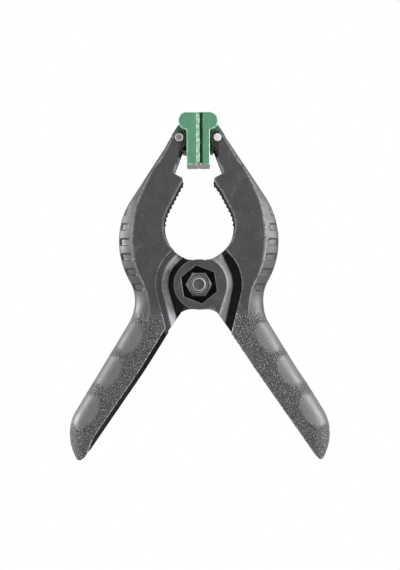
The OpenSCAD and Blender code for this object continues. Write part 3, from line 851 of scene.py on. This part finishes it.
def inner_ear_piece(side):
    """The ear behind the other lever's outer one, sunk in a pocket whose brim is rolled; the roll carries
    painted highlight and the pocket's floor painted shade.
    """
    # Painted shade on the pocket's floor
    floor_shade, under = 0.9, 0.1
    roll_from, roll_to, roll_drop, roll_bend = 0.9, 0.3, 0.25, 1.3
    roll, back_at = skin_face - pocket_roll, inner_back - under
    inner, outer = flared(pocket_radius, -16), flared(pocket_radius + pocket_round, -14)
    profile = [(bolt_r, back_at), (ring_end, back_at), (ring_end, skin_face)]
    profile += [(between(inner, outer, t), skin_face - drop, *marks) for t, drop, *marks in POCKET_BRIM]
    # The roll gets painted highlight, through both its wear marks and its lit marks
    for t in evenly(0, 1, ROLL_STEPS):
        w = mix(skin_face - roll_drop, roll, t ** roll_bend)
        profile.append((between(inner, outer, mix(roll_from, roll_to, t)), w, mix(0.5, 0.92, t), 0, 1.0))
    profile += [(between(inner, outer, t), roll - drop, *marks) for t, drop, *marks in POCKET_FOOT]
    profile += shaded([(between(inner, outer, 0.05), inner_face + 0.4),
                       (between(inner, outer, -0.1), inner_face), (bolt_r, inner_face)], floor_shade)
    on_side(side, "lever_inner_ear", turned(profile, -1, inner_face), nylon, crease=30)


def spigot(side):
    """The sleeve that the coil is wound round."""
    end = inner_back - spigot_length
    rings = Rings()
    for r, w in ((bolt_r, inner_back), (bolt_r, end), (spigot_radius - spigot_chamfer, end),
                 (spigot_radius, end + spigot_chamfer), (spigot_radius, inner_back)):
        rings.add(circle(r, -w, SPIGOT_SIDES))
    on_side(side, "lever_spigot", rings.close(), nylon)


# Toothed web

tooth_at = along(throat_at, normal(tooth_lean), throat_radius + rim)
brow_in = along(brow_at, normal(tooth_lean), rim - brow_round)
tooth_run = hypot(*sub(brow_in, tooth_at))


def down_throat(s, proud):
    """Place down the throat at a distance s from the brow, standing out of the web by proud."""
    if s < tooth_run:
        at = along(brow_in, sub(tooth_at, brow_in), s / tooth_run)
        return along(at, normal(tooth_lean), -proud)
    a = tooth_lean - (s - tooth_run) / (throat_radius + rim)
    return along(throat_at, normal(a), throat_radius + rim - proud)


def bead(s):
    """How far the teeth stand out of the web at a distance s down the throat."""
    size, run = 1.0, tooth_pitch * TOOTH_COUNT
    if s >= run:
        size, s = FINE_SHARE, s - run
        if s > tooth_pitch * size * FINE_COUNT:
            return 0.0
    pitch, radius = tooth_pitch * size, tooth_radius * size
    away = s % pitch - pitch / 2
    return chord(radius, away) + tooth_proud * size if abs(away) < radius else 0.0


def toothed_web(side):
    """The wall between a lever's sides, from the neck down the brow and the toothed throat."""
    # Painted shade on the teeth, the web and the web's back
    tooth_shade, web_shade, back_shade, least_tooth, neck_foot = 1.0, 0.5, 0.6, 0.1, 0.1
    length = tooth_run + (throat_radius + rim) * (tooth_lean + TEETH_END)
    neck = [(touching(notch_at, 0, neck_lean, h) + rim, h) for h in (neck_rise, notch_rise + neck_foot)]
    leans = evenly(shelf_lean, tooth_lean, BROW_STEPS)[:-1]
    brow = [along(brow_at, normal(lean), rim - brow_round) for lean in leans]
    face = neck + [(notch_at[0] + rim, notch_at[1] - rim)] + brow
    behind = [(x + neck_web, h) for x, h in neck] + [(notch_at[0] + rim + neck_web, notch_at[1] - rim - web)]
    behind += [along(brow_at, normal(shelf_lean), web / 2)] * BROW_STEPS
    # The neck's face is painted light with the wear mark, a painted highlight where it lies in shade
    pale, dark = [1.0] * (len(neck) + 1), [0.0] * len(face)
    for s in evenly(0, length, WEB_STEPS):
        proud = bead(s)
        dark.append(tooth_shade if proud > least_tooth else web_shade)
        slack = throat_slack[side] * smooth(s / web_foot_fade) * smooth((length - s) / web_end_fade)
        face.append(down_throat(s, proud - slack))
        behind.append(down_throat(s, -web))
    deep = fork_depth / 2 - web_margin
    pale += [0.0] * (2 * len(face) - len(pale))
    dark += [back_shade] * len(face)
    rings = Rings()
    for w in (deep, deep / 2, 0, -deep / 2, -deep):
        rings.add([(x, h, w) for x, h in face + behind[::-1]], pale, dark)
    on_side(side, "lever_web", rings.cap_channel(), nylon, crease=50)


# Pads

bar = pin_reach - fork_radius - pad_gap
pad_top_at = pin_rise + pad_top
pad_foot_at = pad_top_at - pad_height
head_foot = pad_top_at - head_rise
lobe_radius = head_rise / 2
lobe_at = (head_reach - lobe_radius, pad_top_at - lobe_radius)


def pad_outline(inset, inner):
    """Outline of a pad's bar and round head, drawn in by inset, with its gripping face at inner."""
    r, edge_at = lobe_radius - inset, bar - inset
    top, foot = pad_top_at - inset, pad_foot_at + inset
    low = -acos(min(1.0, max(-1.0, (edge_at + neck_overlap - lobe_at[0]) / lobe_radius)))
    meet = lobe_at[1] + r * sin(low) - neck_overlap
    points = [(inner, foot)] + [(edge_at, h) for h in evenly(foot, meet, EDGE_STEPS)]
    points.append((edge_at + neck_round, meet + neck_lift))
    points += [along(lobe_at, normal(a), r) for a in evenly(low, pi / 2, LOBE_STEPS)]
    points += [(x, top) for x in evenly(lobe_at[0], inner, TOP_STEPS)[1:]]
    return points + [(inner, h) for h in evenly(top, foot, GRIP_STEPS)[1:-1]]


def pad_bar(side):
    """A pad's bar and head, with a rim lightened by wear and painted highlight, and bevelled ends to its
    gripping face, the left bevel with painted highlight and the right with painted shade.
    """
    rim_wear_and_glint, rim_end, deep, past = 0.7, 0.05, bevel_depth[side], 0.4
    # The left bevel is painted light and the right one painted dark
    bevel_glint, bevel_shade = {"left": (0.5, 0.0), "right": (0.0, 0.48)}[side]
    depths = [(0.0, pad_rim + rim_lead), (0.0, pad_rim)]
    depths += [(pad_rim * (1 - cos(a)), pad_rim * (1 - sin(a))) for a in evenly(0, pi / 2, RIM_STEPS)[1:]]
    depths += [(deep / 2, 0.0), (deep, 0.0), (deep + past, 0.0)]
    rings = Rings()
    for sign in (1, -1):
        for down, inset in depths[::sign]:
            inner = parting + bevel_width[side] * max(0.0, 1 - down / deep)
            ring = [(x, h, sign * (pad_depth / 2 - down)) for x, h in pad_outline(inset, inner)]
            edged = rim_wear_and_glint if rim_end < inset < pad_rim else 0.0
            bevel = [x <= inner + 0.01 and 0.1 < down < deep for x, h, w in ring]
            rings.add(ring, [bevel_glint if on else edged for on in bevel],
                      [bevel_shade if on else 0.0 for on in bevel])
    on_side(side, "pad_bar", rings.cap(), green, "jaw_pad", "pad", 30)


def extruded(side, name, outline, low, high, look=green, inset=0.25, shade=0.0, worn_and_glint=None):
    """A plate of a pad with rounded edges; outline is a function of how far it is drawn in."""
    # The last of each row is the edges' wear with painted highlight, used unless a plate gives its own;
    # shade, when given, is painted shade
    turn = ((0, inset + 0.05, 0), (0, inset, 0.3), (inset * 0.3, inset * 0.3, 0.5), (inset, 0, 0))
    rings = Rings()
    for end, sign, rows in ((high, -1, turn), (low, 1, turn[::-1])):
        for down, draw, edged in rows:
            ring = [(x, h, end + sign * down) for x, h in outline(draw)]
            rings.add(ring, edged if worn_and_glint is None else worn_and_glint, shade)
    on_side(side, name, rings.cap(), look, "jaw_pad")


def flash():
    """Thin moulding ridge along the left bar's front edge, lightened by wear and painted highlight."""
    wear_and_glint, front, back_at = 0.62, flash_front - pad_depth / 2, flash_rear - pad_depth / 2
    rises = evenly(pad_foot_at + flash_foot, pad_top_at - flash_top, FLASH_STEPS)

    def outline(inset):
        out = [(flash_ripple * sin(2.1 * h) * sin(0.9 * h + 1) - flash_reach + inset, h) for h in rises]
        return out + [(flash_back - inset, h) for h in rises[::-1]]
    extruded("left", "pad_flash", outline, front, back_at, green, flash_round, worn_and_glint=wear_and_glint)


def lug_outline(inset):
    """The pad's lug round its pin, from the head down."""
    shoulder, near, foot = head_foot + lug_shoulder, bar - neck_overlap, pin_rise - fork_radius
    shoulder_at = touching(pin_at, fork_radius + lug_proud, arm_lean, shoulder) - inset
    points = [(near, head_foot + lug_top), (shoulder_at, shoulder)]
    for i in range(LUG_STEPS + 1):
        a = mix(arm_lean, -pi / 2, i / LUG_STEPS)
        proud = lug_proud * (1 - smooth(i / LUG_FADE_STEPS))
        points.append(along(pin_at, normal(a), fork_radius - inset + proud))
    return points + [(bar + 0.2, foot), (near, foot)]


def stop_outline(inset):
    """The lug's foot, which meets the fork when the pad has swung as far as it goes."""
    top, foot, near, reach = pin_rise - stop_top, pin_rise - stop_drop, bar - neck_overlap, stop_reach - inset
    return [(near, top - inset), (stop_reach - stop_chamfer, top - inset), (reach, top - stop_chamfer),
            (reach, foot + stop_toe_rise), (reach - stop_toe_reach, foot + inset), (near, foot + inset)]


def pad_lug(side):
    # Painted shade on the lugs, and on the left lug's foot
    lug_shade, stop_shade = 0.5, {"left": 0.8, "right": 0.0}[side]
    extruded(side, "pad_lug", lug_outline, -lug_half, lug_half, shade=lug_shade)
    extruded(side, "pad_stop", stop_outline, -stop_half[side], stop_half[side], shade=stop_shade)


def stop_end():
    """Pale end of the left lug's foot."""
    low, high = pin_rise - stop_drop - 0.1, pin_rise - stop_drop + stop_toe_rise
    near, far, half = bar + 0.1, stop_reach, stop_half["right"]

    def outline(inset):
        return [(near, low), (far - stop_lean - inset, low), (far + stop_lean - inset, high), (near, high)]
    extruded("left", "pad_stop_end", outline, -half, half, core, core_round)


def pad_end(side):
    """Grey core of the bar, bare at its foot."""
    low, high, half = pad_foot_at - core_foot, pad_foot_at + core_top, pad_depth / 2 - core_end

    def outline(inset):
        near, far = parting + core_inset + inset, bar - core_back - inset
        return [(near, low), (far, low), (far, high), (near, high)]
    extruded(side, "pad_core", outline, -half, half, core, core_round)


def pin(side):
    """A pad's pin, its ends rounded over, the right pin's end with painted highlight."""
    r, end = pin_d / 2, fork_depth / 2 + pin_proud
    # Painted highlight on the right pin's end only
    bright = 0.5 if side == "right" else 0.0
    rows = [(point_radius, 0, bright), (r - 0.5, 0, bright), (r - 0.15, 0.08, 0.6), (r, 0.3, 0)]
    rings = Rings()
    for sign in (1, -1):
        for radius, down, worn_and_glint in rows[::sign]:
            rings.add(circle(radius, sign * (end - down), PIN_SIDES, pin_at), worn_and_glint)
    on_side(side, "pad_pin_detail", rings.cap(), zinc, replaced="pad_pin")


# Bolt and nut

CHAMFER_SHARES = (0, 0.1, 0.3, 0.6, 0.85, 1)


def add_hexagon(rings, height, sign=1):
    """Adds a hexagonal prism, its corners chamfered at both ends, with wear and painted highlight at its top,
    painted brightest on its left side.
    """
    rim_share, rim_wear_and_glint, side_wear_and_glint = 0.85, 1.0, 0.25
    # Painted glint, strongest on the left
    glint_turn, glint_least, glint_slope, glint_start = 0.25, 0.12, 1.6, 0.5
    hexed = hexagon(nut_flats, pi / 6)
    corner_radius = nut_flats / 2 / cos(pi / 6)
    drop = chamfer_slope * (corner_radius - chamfer_radius)
    lifts = [(drop * c, c, 0.0) for c in CHAMFER_SHARES]
    lifts += [(height - drop * c, c, rim_wear_and_glint if c >= rim_share else side_wear_and_glint) for c in CHAMFER_SHARES[::-1]]
    turns = evenly(0, 2 * pi, HEX_TURN)[:-1]
    glints = [mix(glint_least, 1.0, smooth(-cos(a + glint_turn) * glint_slope - glint_start)) for a in turns]
    for lift, share, worn_and_glint in lifts:
        w = sign * (outer_face + lift)
        radii = [min(hexed(a), mix(chamfer_radius, corner_radius, share)) for a in turns]
        rings.add([(r * cos(a), r * sin(a), w) for r, a in zip(radii, turns)],
                  [worn_and_glint * glint for glint in glints])


def nut():
    top = outer_face + nut_height
    rings = Rings()
    rings.add(circle(bolt_r + 0.01, outer_face))
    rings.add(circle(nut_flats / 2 - 0.3, outer_face))
    add_hexagon(rings, nut_height)
    rings.add(circle(chamfer_radius - 0.2, top))
    # Wear with painted highlight round the bolt's hole
    for out, down, worn_and_glint in ((0.75, 0, 0), (0.6, 0.05, 0.15), (0.25, 0.15, 0.15), (0.02, 0.5, 0)):
        rings.add(circle(bolt_r + out, top - down), worn_and_glint)
    piece("pivot_nut_detail", rings.close(), dull_zinc, "left_half", ["pivot_nut"], 25)


def bolt():
    """The bolt from its dished end, through the ears, to its head at the back."""
    shank, half_flats = bolt_r - bolt_play, nut_flats / 2
    reach, under, head = outer_face + nut_height + bolt_proud, -outer_face, -outer_face - head_height
    rings = Rings()
    # Wear with painted highlight at the rim of the dished end
    for r, w, worn_and_glint in ((point_radius, reach - dish, 0), (1.6, reach - 0.12, 0), (2.0, reach, 0),
                       (shank - 0.6, reach, 0), (shank - 0.5, reach, 0.3), (shank - 0.15, reach - 0.15, 0.4),
                       (shank, reach - 0.4, 0), (shank, under + 0.3, 0), (shank + 0.2, under, 0)):
        rings.add(circle(r, w), worn_and_glint)
    add_hexagon(rings, head_height, -1)
    for r, w in ((half_flats - 1.2, head), (half_flats - 1.5, head + dish), (point_radius, head + dish)):
        rings.add(circle(r, w))
    piece("pivot_bolt_detail", rings.cap(), dull_zinc, "left_half", ["pivot_bolt"], 25)


# Torsion spring

def spring():
    """The wire: a right leg at the front, the coil, and a left leg at the back."""
    leg_length = sqrt(leg_end[0] ** 2 + leg_end[1] ** 2 - coil_radius ** 2)
    leg_shares = (1, 0.75, 0.5, 0.25, 0.1)

    def at(a, run, w):
        x, h = normal(a)
        return Vector((coil_radius * x + run * h, coil_radius * h - run * x, w))
    path = [at(leg_angle, s * leg_length, coil_half) for s in leg_shares]
    count = ceil(coil_sweep / COIL_STEP)
    path += [at(leg_angle + coil_sweep * t, 0, mix(coil_half, -coil_half, t)) for t in evenly(0, 1, count)]
    path += [at(pi - leg_angle, -s * leg_length, -coil_half) for s in leg_shares[::-1]]
    rings = Rings()
    up = Vector((0, 0, 1))
    for before, centre, after in zip(path[:1] + path, path, path[1:] + path[-1:]):
        ahead = (after - before).normalized()
        out = ahead.cross(up).normalized()
        over = out.cross(ahead)
        rings.add([tuple(centre + wire_d / 2 * (cos(a) * out + sin(a) * over))
                   for a in evenly(0, 2 * pi, WIRE_SIDES)[:-1]])
    o = piece("torsion_spring_wire", rings.cap(), wire, None, ["torsion_spring"])
    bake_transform(o)


for side in PLACES:
    lever_shell(side)
    outer_ear(side)
    inner_ear_piece(side)
    spigot(side)
    toothed_web(side)
    pad_bar(side)
    pad_lug(side)
    pad_end(side)
    pin(side)
stop_end()
flash()
nut()
bolt()
spring()


# Stage and light

FLOOR_HALF = 3.0
FLOOR_GREY, FLOOR_ROUGHNESS = (0.9, 0.9, 0.9, 1), 0.9
WHITE = (1, 1, 1, 1)
AMBIENT = 0.25
LIT_POINT = Vector((0, 0, 0.085))
# Name, place and size in metres, and power in watts
LAMPS = (("left_light", (-0.8, 0.02, 0.2), 0.4, 10.5), ("right_light", (0.78, -0.26, 0.25), 0.5, 13),
         ("top_light", (0, -0.3, 0.8), 0.5, 2))


def white_where_seen(tree, plain, kind, output):
    """Shows white to the camera, also by reflection or through glass, and the plain shader to other rays."""
    rays = add(tree, "LightPath").outputs
    seen = maths(tree, "MAXIMUM", rays["Is Camera Ray"], rays["Is Glossy Ray"])
    seen = maths(tree, "MAXIMUM", seen, rays["Is Transmission Ray"])
    glow = add(tree, kind, {"Color": WHITE, "Strength": 1.0})
    pick = add(tree, "MixShader", {0: seen, 1: plain, 2: glow.outputs[0]})
    tree.links.new(pick.outputs[0], tree.nodes[output].inputs["Surface"])


def floor():
    """The ground plane."""
    mesh = bpy.data.meshes.new("floor")
    corners = [(x * FLOOR_HALF, y * FLOOR_HALF, 0) for x, y in ((-1, -1), (1, -1), (1, 1), (-1, 1))]
    mesh.from_pydata(corners, [], [(0, 1, 2, 3)])
    o = placed("floor", mesh)
    m, tree, shader = material("floor")
    shader.inputs["Base Color"].default_value = FLOOR_GREY
    shader.inputs["Roughness"].default_value = FLOOR_ROUGHNESS
    white_where_seen(tree, shader.outputs[0], "Emission", "Material Output")
    mesh.materials.append(m)


def studio():
    """A soft light from all sides."""
    world = bpy.data.worlds.new("studio")
    scene.world = world
    world.use_nodes = True
    ambient = world.node_tree.nodes["Background"]
    ambient.inputs["Color"].default_value = WHITE
    ambient.inputs["Strength"].default_value = AMBIENT
    white_where_seen(world.node_tree, ambient.outputs[0], "Background", "World Output")


def lamp(name, at, size, power):
    light = bpy.data.lights.new(name, "AREA")
    light.shape = "DISK"
    light.size = size
    light.energy = power
    o = placed(name, light)
    o.location = at
    o.rotation_mode = "QUATERNION"
    o.rotation_quaternion = (LIT_POINT - Vector(at)).to_track_quat("-Z", "Y")


floor()
studio()
for row in LAMPS:
    lamp(*row)


# Camera. A pixel of the picture shows 0.44 mm at the middle of the bolt, 0.43 mm at the clamp's front.

PICTURE = (400, 570)
PIVOT_PIXEL = (199.0, 284.4)
PIXEL = 0.00044
DISTANCE = 0.64
SENSOR = 24
ROLL = radians(0.3)

camera = bpy.data.cameras.new("camera")
camera.sensor_fit = "VERTICAL"
camera.sensor_height = SENSOR
camera.lens = SENSOR * DISTANCE / (PICTURE[1] * PIXEL)
camera.shift_x = (PICTURE[0] / 2 - PIVOT_PIXEL[0]) / PICTURE[1]
camera.shift_y = (PIVOT_PIXEL[1] - PICTURE[1] / 2) / PICTURE[1]
cam = placed("camera", camera)
cam.location = (0, -DISTANCE, pivot_height * MM)
cam.rotation_euler = (radians(90), ROLL, 0)
scene.camera = cam

scene.view_settings.view_transform = "Standard"
